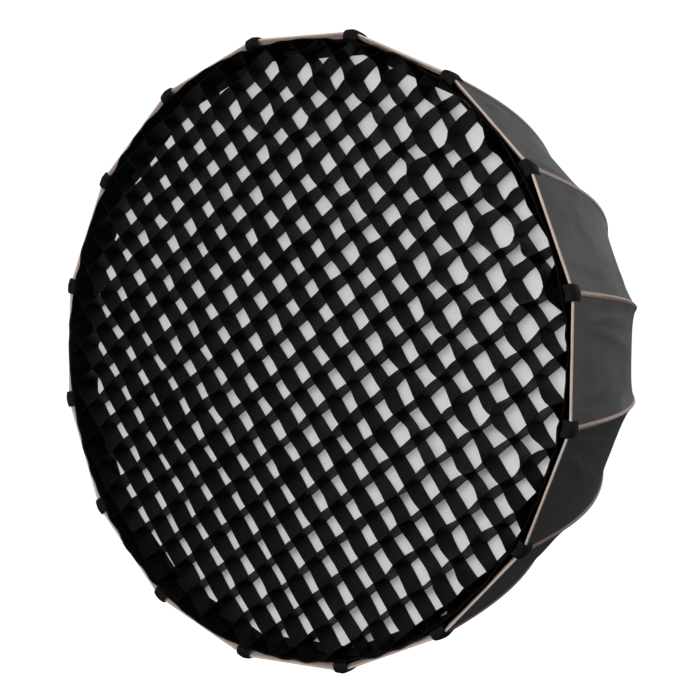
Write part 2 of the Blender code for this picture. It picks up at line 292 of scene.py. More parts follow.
def weave_height(tree, cloth, pitch):
    """Plain weave: over and under threads as two crossed waves."""
    split = tree.nodes.new("ShaderNodeSeparateXYZ")
    link(tree, cloth, split.inputs["Vector"])
    warp = wave(tree, split.outputs["X"], pitch)
    weft = wave(tree, split.outputs["Y"], pitch)
    return math_node(tree, "MULTIPLY", warp, weft)


def cloth_coordinates(tree):
    node = tree.nodes.new("ShaderNodeAttribute")
    node.attribute_name = "cloth"
    return node.outputs["Vector"]


def object_coordinates(tree):
    return tree.nodes.new("ShaderNodeTexCoord").outputs["Object"]


def cloth_material(name, dark, light, roughness, pitch, sheen=0.0, metallic=0.0, gloss=0.3, ior=1.45):
    """Woven cloth with thread-scale weave, blotchy colour and roughness that varies with it."""
    made, tree, shader = nodes_of(name)
    cloth = cloth_coordinates(tree)
    place = object_coordinates(tree)
    blotch = noise(tree, place, 14.0, 4.0)
    weave = weave_height(tree, cloth, pitch)
    fuzz = noise(tree, place, 900.0, 2.0)
    tone = math_node(tree, "ADD", blotch, math_node(tree, "MULTIPLY", weave, 0.10))
    tone = math_node(tree, "ADD", tone, math_node(tree, "MULTIPLY", fuzz, 0.25))
    link(tree, ramp(tree, tone, 0.35, 0.9, dark, light), shader.inputs["Base Color"])
    uneven = map_range(tree, blotch, 0.3, 0.7, roughness - 0.07, roughness + 0.07)
    link(tree, uneven, shader.inputs["Roughness"])
    shader.inputs["Metallic"].default_value = metallic
    shader.inputs["Specular IOR Level"].default_value = gloss
    shader.inputs["IOR"].default_value = ior
    shader.inputs["Sheen Weight"].default_value = sheen
    shader.inputs["Sheen Roughness"].default_value = 0.45
    height = math_node(tree, "ADD", weave, math_node(tree, "MULTIPLY", fuzz, 0.8))
    bump(tree, shader, height, 0.35, 0.00025)
    return made


STITCH_PITCH = 0.0030
STITCH_HALF_WIDTH = 0.0004
TAPE_RIB_PITCH = 0.0008


def tape_material(name, dark, light, width):
    """Satin tape: ribbed across, with a sunken row of stitches darkened as painted shade, and painted shade
    darkening it towards each turned-down edge.
    """
    made, tree, shader = nodes_of(name)
    split = tree.nodes.new("ShaderNodeSeparateXYZ")
    link(tree, cloth_coordinates(tree), split.inputs["Vector"])
    side = math_node(tree, "ABSOLUTE", split.outputs["X"])
    place = object_coordinates(tree)
    blotch = noise(tree, place, 60.0, 3.0)
    streak = noise(tree, cloth_coordinates(tree), 420.0, 2.0)
    tone = weighted(tree, blotch, 0.55, streak, 0.45)
    # painted shade: the colour darkens towards each turned-down edge of the tape
    painted_edge_shade = map_range(tree, side, 0.36 * width, 0.47 * width, 0.0, 0.42)
    row = math_node(tree, "COMPARE", side, 0.30 * width)
    row.node.inputs[2].default_value = STITCH_HALF_WIDTH
    dash = wave(tree, split.outputs["Y"], STITCH_PITCH)
    stitch = math_node(tree, "MULTIPLY", row, map_range(tree, dash, -0.2, 0.2, 0.0, 1.0))
    # painted shade: the sunken stitch row and the turned-down edges are darkened in the colour
    tone = math_node(tree, "SUBTRACT", tone, math_node(tree, "MULTIPLY", row, 0.12))
    tone = math_node(tree, "SUBTRACT", tone, painted_edge_shade)
    tone = math_node(tree, "ADD", tone, math_node(tree, "MULTIPLY", stitch, 0.2))
    link(tree, ramp(tree, tone, 0.25, 0.75, dark, light), shader.inputs["Base Color"])
    link(tree, map_range(tree, streak, 0.3, 0.7, 0.34, 0.48), shader.inputs["Roughness"])
    shader.inputs["Metallic"].default_value = 0.15
    ribbed = wave(tree, split.outputs["Y"], TAPE_RIB_PITCH)
    height = weighted(tree, ribbed, 0.3, stitch, 1.5)
    bump(tree, shader, math_node(tree, "SUBTRACT", height, row), 0.5, 0.0003)
    return made


def hard_material(name, dark, light, roughness, metallic, grain=60.0):
    """Moulded or anodised surface: fine grain, faint handling marks and uneven gloss."""
    made, tree, shader = nodes_of(name)
    place = object_coordinates(tree)
    blotch = noise(tree, place, grain, 4.0)
    fine = noise(tree, place, 2600.0, 2.0)
    link(tree, ramp(tree, blotch, 0.3, 0.7, dark, light), shader.inputs["Base Color"])
    rough = math_node(tree, "ADD", math_node(tree, "MULTIPLY", fine, 0.08), blotch)
    uneven = map_range(tree, rough, 0.3, 0.8, roughness - 0.06, roughness + 0.08)
    link(tree, uneven, shader.inputs["Roughness"])
    shader.inputs["Metallic"].default_value = metallic
    bump(tree, shader, fine, 0.25, 0.0001)
    return made


def turned_material(name, dark, light, roughness):
    """Black anodised metal with the fine rings that a lathe leaves round the axis."""
    made, tree, shader = nodes_of(name)
    split = tree.nodes.new("ShaderNodeSeparateXYZ")
    link(tree, object_coordinates(tree), split.inputs["Vector"])
    squares = [math_node(tree, "MULTIPLY", split.outputs[axis], split.outputs[axis]) for axis in ("X", "Z")]
    radius = math_node(tree, "SQRT", math_node(tree, "ADD", *squares))
    rings = tree.nodes.new("ShaderNodeTexNoise")
    rings.noise_dimensions = "1D"
    rings.inputs["Scale"].default_value = 1600.0
    rings.inputs["Detail"].default_value = 4.0
    link(tree, radius, rings.inputs["W"])
    blotch = noise(tree, object_coordinates(tree), 45.0, 4.0)
    tone = weighted(tree, rings.outputs["Fac"], 0.5, blotch, 0.5)
    link(tree, ramp(tree, tone, 0.35, 0.65, dark, light), shader.inputs["Base Color"])
    uneven = map_range(tree, tone, 0.35, 0.65, roughness - 0.06, roughness + 0.08)
    link(tree, uneven, shader.inputs["Roughness"])
    shader.inputs["Metallic"].default_value = 0.85
    bump(tree, shader, rings.outputs["Fac"], 0.4, 0.0002)
    return made


def grey(value):
    return (value, value, value)


SHELL_CLOTH = cloth_material(
    "shell_cloth", (0.010, 0.010, 0.0105), (0.020, 0.020, 0.021), 0.52, 0.0015, sheen=0.02
)
LINING_SILVER = cloth_material(
    "silver_lining", (0.55, 0.55, 0.56), (0.74, 0.74, 0.75), 0.32, 0.0018, metallic=0.85
)
HEM_BLACK = cloth_material("black_hem", grey(0.002), grey(0.005), 0.8, 0.0012, gloss=0.15)
BINDING_ROSE = cloth_material(
    "rose_binding", (0.44, 0.34, 0.30), (0.70, 0.58, 0.50), 0.4, 0.0011, metallic=0.2
)
TAPE_ROSE = tape_material("rose_tape", (0.25, 0.155, 0.13), (0.45, 0.305, 0.26), BINDING_WIDTH)
POCKET_BLACK = cloth_material("pocket_webbing", grey(0.0025), grey(0.006), 0.7, 0.0016, gloss=0.12)
GRID_BLACK = cloth_material(
    "grid_cloth", grey(0.0018), grey(0.0042), 0.40, 0.0011, gloss=0.5, ior=1.13
)
DIFFUSER_WHITE = cloth_material("diffuser_cloth", grey(0.80), grey(0.88), 0.9, 0.0009)
ROD_PAINT = hard_material("rod_paint", grey(0.02), grey(0.05), 0.4, 0.4)
ANODISED = turned_material("anodised_black", (0.020, 0.020, 0.021), (0.046, 0.046, 0.048), 0.36)
HUB_PLASTIC = hard_material("hub_plastic", (0.018, 0.018, 0.019), (0.032, 0.032, 0.033), 0.5, 0.0)
STEEL = hard_material("spring_steel", (0.45, 0.45, 0.46), (0.62, 0.62, 0.63), 0.28, 1.0)


# ---------------------------------------------------------------- camera and light

CAMERA_PLACE = (1.6816, -2.803, 0.0824)
CAMERA_AZIMUTH = math.radians(36.02)
CAMERA_DOWN = math.radians(1.66)
CAMERA_ROLL = math.radians(0.89)
CAMERA_LENS = 99.97
SENSOR = 36.0


def make_camera():
    data = bpy.data.cameras.new("camera")
    data.lens = CAMERA_LENS
    data.sensor_width = SENSOR
    camera = bpy.data.objects.new("camera", data)
    turn = Matrix.Rotation(CAMERA_AZIMUTH, 4, "Z") @ Matrix.Rotation(math.pi / 2 - CAMERA_DOWN, 4, "X")
    camera.matrix_world = Matrix.Translation(CAMERA_PLACE) @ turn @ Matrix.Rotation(CAMERA_ROLL, 4, "Z")
    bpy.context.scene.collection.objects.link(camera)
    bpy.context.scene.camera = camera


def area_light(name, place, target, size, power):
    data = bpy.data.lights.new(name, "AREA")
    data.shape = "DISK"
    data.size = size
    data.energy = power
    light = bpy.data.objects.new(name, data)
    light.location = place
    light.rotation_euler = (Vector(target) - Vector(place)).to_track_quat("-Z", "Y").to_euler()
    bpy.context.scene.collection.objects.link(light)


FLOOR_Z = -0.75
FLOOR_REACH = 150.0
FLOOR_GLOW = 0.5
SKY_LIGHT = 1.12
UNDER_LIGHT = 0.10
OVERHEAD_SHARE = 0.45


def make_sky():
    """White studio surroundings above the horizon, dimmer overhead and dim below it."""
    world = bpy.data.worlds.new("studio")
    bpy.context.scene.world = world
    world.use_nodes = True
    tree = world.node_tree
    background = tree.nodes["Background"]
    split = tree.nodes.new("ShaderNodeSeparateXYZ")
    link(tree, tree.nodes.new("ShaderNodeTexCoord").outputs["Generated"], split.inputs["Vector"])
    low = map_range(tree, split.outputs["Z"], -0.04, -0.02, UNDER_LIGHT, SKY_LIGHT)
    high = map_range(tree, split.outputs["Z"], 0.22, 0.42, 1.0, OVERHEAD_SHARE)
    strength = math_node(tree, "MULTIPLY", low, high)
    background.inputs["Color"].default_value = (1, 1, 1, 1)
    link(tree, strength, background.inputs["Strength"])


def make_studio():
    bpy.context.scene.view_settings.view_transform = "Standard"
    make_sky()
    middle = (0, -0.4, 0)
    area_light("key_front", (1.1, -3.6, 0.45), middle, 2.0, 46)
    area_light("front_left", (-0.1, -3.2, 0.15), middle, 0.7, 12)
    area_light("top_right", (1.6, -0.4, 2.6), middle, 1.4, 4)
    area_light("rear_fill", (-2.6, 1.6, 0.9), middle, 2.0, 16)
    reach = FLOOR_REACH
    edge = [(x * reach, y * reach, FLOOR_Z) for x, y in ((-1, -1), (1, -1), (1, 1), (-1, 1))]
    made, tree, shader = nodes_of("pale_floor")
    shader.inputs["Base Color"].default_value = (0.95, 0.95, 0.95, 1)
    shader.inputs["Roughness"].default_value = 0.9
    shader.inputs["Specular IOR Level"].default_value = 0.0
    shader.inputs["Emission Color"].default_value = (1, 1, 1, 1)
    shader.inputs["Emission Strength"].default_value = FLOOR_GLOW
    floor = new_object("floor", edge, [(0, 1, 2, 3)], [made], smooth=False)
    floor.visible_diffuse = False
    floor.visible_glossy = False


# ---------------------------------------------------------------- shell

SAG_RATIO = 1.35  # depth of the cloth's dip between two ribs, as a share of the ribs' own curve
SAG_POWER = 4  # 2 is a round dip; more drops faster beside the ribs and is flatter between them
CREASES_EACH = 9


class Creases:
    """Soft folds of one gore. Each runs back from near a rim corner, in metres across and along the cloth."""

    def __init__(self, gore):
        rng = np.random.default_rng(RANDOM_SEED * 1000 + gore)
        middle_angle = RIB_ANGLES[gore] - HALF_STEP
        low = math.sin(middle_angle) < -0.1
        self.lines = []
        for i in range(CREASES_EACH):
            side = -1 if i % 2 else 1
            start = (side * rng.uniform(0.45, 0.97), RIB_LENGTH - rng.uniform(0.004, 0.05))
            length = rng.uniform(0.14, 0.42)
            lean = rng.uniform(0.35, 1.5) if low else rng.uniform(-0.05, 0.55)
            end = (start[0] - side * lean, start[1] - length)
            width = rng.uniform(0.0045, 0.011)
            height = rng.uniform(0.0006, 0.0017) * rng.choice([1, 1, -0.7])
            self.lines.append((start, end, width, height))

    def height(self, across, distance, half_width):
        total = np.zeros_like(across * distance)
        for (c0, d0), (c1, d1), width, height in self.lines:
            share = np.clip((d0 - distance) / (d0 - d1), 0, 1)
            centre = (c0 + (c1 - c0) * share + 0.06 * np.sin(share * 5.0 + c0 * 7)) * half_width
            spread = width * (0.7 + 0.9 * share)
            fade = np.sin(np.pi * np.clip(share, 0, 1)) ** 0.6 * (1 - 0.55 * share)
            fade = fade * np.clip((RIB_LENGTH - distance) / 0.03, 0, 1)
            total = total + height * fade * np.exp(-(((across * half_width) - centre) / spread) ** 2)
        return total


CREASES = [Creases(gore) for gore in range(RIB_COUNT)]


def gore_points(gore, across, distance, outward):
    """Points of the gore between a rib and the next one clockwise. across runs from -1 to 1 between them."""
    across, distance = np.broadcast_arrays(np.asarray(across, float), np.asarray(distance, float))
    radius, y, angle = crest(distance, outward)
    first = RIB_ANGLES[gore]
    second = first - RIB_STEP
    share = (across + 1) / 2
    x = radius * (math.cos(first) * (1 - share) + math.cos(second) * share)
    z = radius * (math.sin(first) * (1 - share) + math.sin(second) * share)
    half_width = radius * math.sin(HALF_STEP)
    sag = SAG_RATIO * bend(distance) * (2 * half_width) ** 2 / 8
    edge = np.clip((1 - np.abs(across)) / 0.12, 0, 1)
    free = edge * edge * (3 - 2 * edge)
    lift = -sag * (1 - np.abs(across) ** SAG_POWER)
    lift = lift + free * CREASES[gore].height(across, distance, half_width)
    middle = first - HALF_STEP
    normal = (np.cos(angle) * math.cos(middle), np.sin(angle), np.cos(angle) * math.sin(middle))
    return np.stack([x + lift * normal[0], y + lift * normal[1], z + lift * normal[2]], -1)


def sector_grid(rib, distance, outward, half_columns, reach=(1.0, 1.0)):
    """Points of half a gore on each side of a rib, rows along it. reach is the share of each half covered."""
    distance = np.asarray(distance, float)[:, None]
    before, after = (
        np.broadcast_to(np.asarray(share, float).reshape(-1, 1), distance.shape) for share in reach
    )
    steps = np.linspace(0, 1, half_columns + 1)
    left = gore_points((rib - 1) % RIB_COUNT, 1 - before * (1 - steps[None, :]), distance, outward)
    right = gore_points(rib, -1 + after * steps[None, :], distance, outward)
    return np.concatenate([left, right[:, 1:]], axis=1)


def normals_of(points):
    along = np.gradient(points, axis=0)
    over = np.gradient(points, axis=1)
    normal = np.cross(along, over)
    return normal / np.linalg.norm(normal, axis=-1, keepdims=True)


SECTOR_ROWS = 100
SECTOR_HALF_COLUMNS = 18
INNER_HEM = 0.045
LINING_DEPTH = -0.0036
LINING_GAP = 0.0001


def flat_of(points):
    """Cloth coordinates of a grid of points: metres from the middle column, and metres along."""
    steps = np.linalg.norm(np.diff(points, axis=1), axis=-1)
    across = np.concatenate([np.zeros((len(points), 1)), np.cumsum(steps, axis=1)], axis=1)
    across -= across[:, [points.shape[1] // 2]]
    middle = points[:, points.shape[1] // 2]
    along = np.concatenate([[0], np.cumsum(np.linalg.norm(np.diff(middle, axis=0), axis=-1))])
    return np.stack([across, np.broadcast_to(along[:, None], across.shape)], -1)


def tangent(rib):
    angle = RIB_ANGLES[rib]
    return (-math.sin(angle), 0.0, math.cos(angle))


def follow_fold(obj, rib):
    """The cloth of one rib rides on the rib's body, on its own copy of the mesh, and turns with the rib as
    the ribs close.
    """
    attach(obj, RIB_NAMES[rib])
    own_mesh(obj)


def declare_sheet(points):
    """Measures the rim and every tenth row of a sheet as modelled, and the longest of them; nothing uses the
    result.
    """
    rim = float(np.linalg.norm(np.diff(points[-1], axis=0), axis=-1).sum())
    rows = (float(np.linalg.norm(np.diff(row, axis=0), axis=-1).sum()) for row in points[::10])
    widest = max(rim, *rows)


def lining_reach(rib, gore, distance):
    """Share of the half gore beside a rib that its lining covers, so that neighbours meet when folded."""
    shares = np.linspace(0, 1, 200)
    across = shares - 1 if gore == rib else 1 - shares
    points = gore_points(gore, across, distance[:, None], LINING_DEPTH)
    place = RIB_ANGLES[rib]
    radial = points @ np.array([math.cos(place), 0, math.sin(place)]) - HINGE_RADIUS
    sideways = np.abs(points @ np.array(tangent(rib)))
    folded = radial * math.cos(FOLD_ANGLE) + (points[..., 1] - HINGE_Y) * math.sin(FOLD_ANGLE)
    folded = folded + HINGE_RADIUS
    free = folded * math.tan(HALF_STEP) - sideways > LINING_GAP
    count = np.cumprod(free, axis=1).sum(axis=1)
    return shares[np.maximum(count - 1, 1)]


def make_sector(rib):
    name = RIB_NAMES[rib][-2:]
    distance = np.linspace(REAR, RIB_LENGTH + 0.0003, SECTOR_ROWS)
    outer = sector_grid(rib, distance, SHELL_INNER + CLOTH, SECTOR_HALF_COLUMNS)
    inner = outer - CLOTH * normals_of(outer)
    flat = flat_of(outer)
    shell = two_sided(f"shell_cloth_{name}", outer, inner, flat, [SHELL_CLOTH, LINING_SILVER, HEM_BLACK])
    blacken_hem(shell, distance, inner)
    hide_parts(f"shell_sector_{name}")
    declare_sheet(outer)
    follow_fold(shell, rib)

    behind_hem = distance[distance < RIB_LENGTH - INNER_HEM]
    reach = [lining_reach(rib, gore, behind_hem) for gore in ((rib - 1) % RIB_COUNT, rib)]
    face = sector_grid(rib, behind_hem, LINING_DEPTH, 10, reach)
    back = face - CLOTH * normals_of(face)
    lining = two_sided(f"lining_{name}", face, back, flat_of(face), [SHELL_CLOTH, LINING_SILVER])
    declare_sheet(face)
    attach(lining, RIB_NAMES[rib])


def blacken_hem(shell, distance, inner):
    """Gives the inner side of the cloth its black hem behind the rim."""
    rows, columns = inner.shape[:2]
    hem_row = int(np.searchsorted(distance, RIB_LENGTH - INNER_HEM))
    per_side = (rows - 1) * (columns - 1)
    index = np.zeros(len(shell.data.polygons), np.int32)
    shell.data.polygons.foreach_get("material_index", index)
    index[per_side + hem_row * (columns - 1) : 2 * per_side] = 2
    shell.data.polygons.foreach_set("material_index", index)


RIM_BINDING = ((-0.0036, 0.0038), (-0.0036, 0.0045), (-0.0020, 0.0048), (0.0000, 0.0048), (0.0010, 0.0043),
               (0.0014, 0.0033), (0.0010, 0.0023), (0.0000, 0.0016), (-0.0050, 0.0000), (-0.0100, -0.0018),
               (-0.0100, -0.0010), (-0.0050, 0.0009), (-0.0006, 0.0028), (-0.0006, 0.0038))
REAR_BINDING = ((-0.0006, 0.0050), (0.0008, 0.0060), (0.0060, 0.0060), (0.0082, 0.0054), (0.0082, 0.0025),
                (0.0010, 0.0024), (-0.0004, 0.0028), (-0.0008, 0.0038))


def edge_sweep(name, rib, start, outline, surface):
    """Binding along the cloth's edge at a distance along the rib. The outline is (along the rib, outward)."""
    sections = []
    for along, outward in outline:
        sections.append(sector_grid(rib, [start + along], outward, SECTOR_HALF_COLUMNS)[0])
    sections = np.stack(sections, 1)
    lengths = np.concatenate([[0], np.cumsum(np.linalg.norm(np.diff(sections[:, 0], axis=0), axis=-1))])
    around = np.linspace(0, 0.012, len(outline))
    flat = np.stack(np.broadcast_arrays(around[None, :], lengths[:, None]), -1)
    obj = swept(name, sections, [surface], flat)
    follow_fold(obj, rib)
    return obj


def make_rim_binding(rib):
    """Rose tape folded over the shell's front edge."""
    name = RIB_NAMES[rib][-2:]
    tape = edge_sweep(f"rim_binding_{name}", rib, RIB_LENGTH, RIM_BINDING, BINDING_ROSE)


def make_rear_binding(rib):
    """Black webbing round the shell's rear opening, over the ends of the seam tapes."""
    name = RIB_NAMES[rib][-2:]
    webbing = edge_sweep(f"rear_binding_{name}", rib, REAR, REAR_BINDING, POCKET_BLACK)


def rib_space(rib, distance, outward, sideways):
    """Points beside a rib's crest. sideways is metres along the cloth, which falls away on both sides."""
    radius, y, angle = crest(distance, outward)
    dip = 0.5 * SAG_POWER * SAG_RATIO * bend(distance) * radius
    fall = np.abs(sideways) * math.sin(HALF_STEP) * (1 + dip)
    radius = radius - fall * np.cos(angle)
    y = y - fall * np.sin(angle)
    place = RIB_ANGLES[rib]
    over = np.asarray(sideways) * math.cos(HALF_STEP)
    x = radius * math.cos(place) - over * math.sin(place)
    z = radius * math.sin(place) + over * math.cos(place)
    return np.stack(np.broadcast_arrays(x, y, z), -1)


def make_rib_binding(rib):
    """Flat tape over the seam on a rib, crowned over the rod, with its two edges turned down."""
    name = RIB_NAMES[rib][-2:]
    half = BINDING_WIDTH / 2
    top = SHELL_INNER + CLOTH
    crown = [(-half, 0.0007), (-half * 0.8, 0.0011), (-half * 0.4, 0.0012), (0, 0.0014)]
    crown += [(-side, height) for side, height in reversed(crown[:-1])]
    outline = [(-half, -0.0002), *crown, (half, -0.0002), (0, -0.0003)]
    outline = [(side, top + height) for side, height in outline]
    distance = np.linspace(REAR + 0.001, RIB_LENGTH - POCKET_LENGTH + 0.004, 110)
    sections = np.stack([rib_space(rib, distance, height, side) for side, height in outline], 1)
    sides = np.array([side for side, height in outline])
    flat = np.stack(np.broadcast_arrays(sides[None, :], distance[:, None]), -1)
    tape = swept(f"rib_binding_{name}", sections[:, ::-1], [TAPE_ROSE], flat[:, ::-1])
    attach(tape, RIB_NAMES[rib])


# ---------------------------------------------------------------- tip pockets

def make_pocket(rib):
    """Webbing cap over the rib's tip: it lies on the shell, turns over the rim and runs back inside."""
    name = RIB_NAMES[rib][-2:]
    inside = SHELL_INNER + CLOTH + 0.0012
    wall = 0.0030
    tip = RIB_LENGTH
    middle = [(tip - POCKET_LENGTH, inside + wall / 2), (tip - 0.014, inside + wall / 2 + 0.0006),
              (tip - 0.006, inside + wall / 2 + 0.0006), (tip + 0.0010, inside + wall / 2 + 0.0002),
              (tip + 0.0040, inside - 0.0004), (tip + 0.0044, inside - 0.0052),
              (tip + 0.0038, inside - 0.0094), (tip + 0.0010, inside - 0.0114),
              (tip - 0.0050, inside - 0.0116), (tip - 0.0130, inside - 0.0112)]
    columns = np.linspace(-1, 1, 13)
    half = POCKET_WIDTH / 2
    outer, inner = [], []
    for i, (distance, outward) in enumerate(middle):
        before, after = middle[max(i - 1, 0)], middle[min(i + 1, len(middle) - 1)]
        run = Vector((after[0] - before[0], after[1] - before[1])).normalized()
        normal = (-run.y, run.x)
        round_off = np.sqrt(np.clip(1 - np.abs(columns) ** 5, 0, 1))
        for rows, thick in ((outer, wall / 2), (inner, -wall / 2)):
            thick = thick * (0.35 + 0.65 * round_off)
            place = (distance + normal[0] * thick, outward + normal[1] * thick)
            rows.append(rib_space(rib, *place, columns * half))
    outer, inner = np.stack(outer), np.stack(inner)
    flat = flat_of(outer)
    pocket = two_sided(f"pocket_{name}", outer[:, ::-1], inner[:, ::-1], flat[:, ::-1], [POCKET_BLACK])
    soften(pocket, 2)
    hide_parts(f"tip_pocket_{name}")
    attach(pocket, RIB_NAMES[rib])


def soften(obj, levels):
    modifier = obj.modifiers.new("soft", "SUBSURF")
    modifier.levels = levels
    modifier.render_levels = levels


# ---------------------------------------------------------------- grid

GRID_PITCH = 0.0421
GRID_TURN = math.radians(37.5)
GRID_SHIFT = (0.0042, 0.0009)
STRIP_THICK = 0.0009
STRIP_STEPS = 6
STRIP_ROWS = 6
CALM_BOW = 0.0011
LOOSE_BOW = 0.0046


def polygon_apothem(angle, radius):
    """Distance from the axis to a regular polygon's side, in a direction, for corners on the ribs."""
    offset = (angle - RIB_ANGLES[0]) % RIB_STEP - HALF_STEP
    return radius * math.cos(HALF_STEP) / np.cos(offset)


class Lattice:
    """Crossing points of the grid, shifted a little front and back, and the waves of the strips between."""

    def __init__(self):
        rng = np.random.default_rng(RANDOM_SEED)
        self.count = 15
        size = 2 * self.count + 2
        self.shift = rng.normal(0, 1, (2, size, size, 2))
        self.bows = rng.normal(0, 1, (2, size, size))
        self.swing = rng.normal(0, 1, (2, size, size))
        self.drift = [
            (rng.uniform(-9, 9, 2), rng.uniform(0, 2 * math.pi), rng.normal(0, 0.0013, 2)) for _ in range(7)
        ]
        self.axes = (
            np.array([math.cos(GRID_TURN), math.sin(GRID_TURN)]),
            np.array([-math.sin(GRID_TURN), math.cos(GRID_TURN)]),
        )

    def looseness(self, place):
        """From 0 on the taut side of the grid to 1 on the slack one."""
        slack = (0.88 * place[0] + 0.42 * place[1]) / RIM_RADIUS
        crown = max(place[1] / RIM_RADIUS - 0.68, 0) * 1.5
        return min(min(max((slack + 0.15) / 1.05, 0), 1) ** 1.4 + crown, 1)

    def node(self, i, j, depth):
        """Crossing of strip i of one family with strip j of the other. depth is 0 in front and 1 behind."""
        base = (j * self.axes[0] + i * self.axes[1]) * GRID_PITCH + np.array(GRID_SHIFT)
        base = base + sum(amount * math.sin(base @ turn + phase) for turn, phase, amount in self.drift)
        front, back = self.shift[:, i + self.count, j + self.count]
        loose = 0.0014 + 0.0009 * self.looseness(base)
        return base + front * (1 - depth) * loose + back * depth * 0.0010

    def bow(self, family, i, j, place):
        """How far a strip bows sideways between two crossings, as one arch and as an S: slack cells swell and
        shrink by turns."""
        at = (family, i + self.count, j + self.count)
        loose = self.looseness(place)
        arch = -((-1) ** (i + j)) * LOOSE_BOW * loose * (0.75 + 0.45 * self.bows[at])
        arch += (CALM_BOW + 0.0006 * loose) * self.swing[at]
        return arch, (0.0003 + 0.0012 * loose) * self.bows[at]

    def strip(self, family, number, depth):
        """Points of one strip at a depth, from border to border, or None if it misses the grid."""
        over = self.axes[1 - family]
        points = []
        for j in range(-self.count, self.count):
            ends = [(number, j), (number, j + 1)] if family == 0 else [(j, number), (j + 1, number)]
            first, second = (self.node(*end, depth) for end in ends)
            arch, swing = self.bow(family, *ends[0], (first + second) / 2)
            for step in range(STRIP_STEPS):
                t = step / STRIP_STEPS
                side = arch * (1 - 0.55 * depth) * math.sin(math.pi * t)
                side += swing * (1 - depth) * math.sin(2 * math.pi * t)
                points.append(first + (second - first) * t + over * side)
        return np.array(points)


LATTICE = Lattice()


def inside_border(points, radius):
    angle = np.arctan2(points[:, 1], points[:, 0])
    return np.hypot(points[:, 0], points[:, 1]) < polygon_apothem(angle, radius)


def border_waves():
    rng = np.random.default_rng(RANDOM_SEED + 9)
    return [
        (rng.integers(34, 96), rng.uniform(0, 2 * math.pi), rng.uniform(0.0003, 0.0008))
        for _ in range(6)
    ]


BORDER_WAVES = border_waves()


def border_radius(angle, depth):
    """Radius of the border band's middle surface: its sides belly out a little between the corners."""
    side = (angle - RIB_ANGLES[0]) % RIB_STEP / RIB_STEP
    number = np.floor((angle - RIB_ANGLES[0]) / RIB_STEP) % RIB_COUNT
    belly = 0.0108 + 0.0014 * np.sin(number * 2.4 + 1.0)
    bulge = belly * np.sin(np.pi * side) ** 0.8 + 0.0006 * np.sin(side * 19 + number)
    bulge = bulge + sum(height * np.sin(cycles * angle + phase) for cycles, phase, height in BORDER_WAVES)
    return polygon_apothem(angle, GRID_RADIUS - 0.002) + bulge * np.maximum(1 - 2.0 * depth, 0.25)


def make_grid():
    """Two crossing families of cloth strips, sewn to each other and to the border."""
    depths = np.linspace(0, 1, STRIP_ROWS)
    rear = GRID_REAR - 0.0006
    verts, faces, flats, lengths = [], [], [], []
    for family in (0, 1):
        for number in range(-LATTICE.count + 1, LATTICE.count):
            rows = [LATTICE.strip(family, number, depth) for depth in depths]
            keep = inside_border(rows[0], GRID_RADIUS - 0.003)
            if keep.sum() < 4:
                continue
            where = np.flatnonzero(keep)
            first, last = where[0], where[-1]
            strip = [row[first : last + 1].copy() for row in rows]
            for depth, row in zip(depths, strip):
                stretch_ends(row, depth)
            lengths.append(add_strip(strip, depths, rear, verts, faces, flats))
    grid = new_object("grid_strips", np.concatenate(verts), faces, [GRID_BLACK])
    set_cloth(grid, np.concatenate(flats))
    mark_sharp(grid, math.radians(40))
    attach(grid, "grid")
    depth = rear - GRID_FRONT


def stretch_ends(row, depth):
    """Moves a strip's two ends onto the border band."""
    for end, inner in ((0, 1), (-1, -2)):
        direction = row[end] - row[inner]
        direction = direction / np.linalg.norm(direction)
        low, high = 0.0, 0.06
        for _ in range(24):
            middle = (low + high) / 2
            point = row[inner] + direction * middle
            radius = border_radius(np.array([math.atan2(point[1], point[0])]), depth)[0]
            if math.hypot(*point) < radius:
                low = middle
            else:
                high = middle
        row[end] = row[inner] + direction * low


def add_strip(strip, depths, rear, verts, faces, flats):
    """Adds one strip of cloth, with a thickness, to the grid's vertices and faces, and gives its length."""
    front_line = strip[0]
    along = np.concatenate([[0], np.cumsum(np.linalg.norm(np.diff(front_line, axis=0), axis=-1))])
    sides = []
    for sign in (1, -1):
        layers = []
        for depth, row in zip(depths, strip):
            run = np.gradient(row, axis=0)
            run /= np.linalg.norm(run, axis=1, keepdims=True)
            normal = np.stack([-run[:, 1], run[:, 0]], 1)
            place = row + sign * normal * STRIP_THICK / 2
            y = GRID_FRONT + 0.0006 + (rear - GRID_FRONT - 0.0006) * depth
            layers.append(np.stack([place[:, 0], np.full(len(place), y), place[:, 1]], 1))
        sides.append(np.stack(layers))
    start = sum(len(v) for v in verts)
    rows, columns = sides[0].shape[:2]
    count = rows * columns
    verts.append(np.concatenate([sides[0].reshape(-1, 3), sides[1].reshape(-1, 3)]))
    across = depths[:, None] * (rear - GRID_FRONT)
    flat = np.stack(np.broadcast_arrays(across, along[None, :]), -1).reshape(-1, 2)
    flats.append(np.concatenate([flat, flat]))
    faces += grid_faces(rows, columns, start)
    faces += grid_faces(rows, columns, start + count, flip=True)
    rim = [c for c in range(columns)] + [r * columns + columns - 1 for r in range(1, rows)]
    rim += [(rows - 1) * columns + c for c in range(columns - 2, -1, -1)]
    rim += [r * columns for r in range(rows - 2, 0, -1)]
    for a, b in zip(rim, rim[1:] + rim[:1]):
        faces.append((start + b, start + a, start + a + count, start + b + count))
    return float(along[-1])


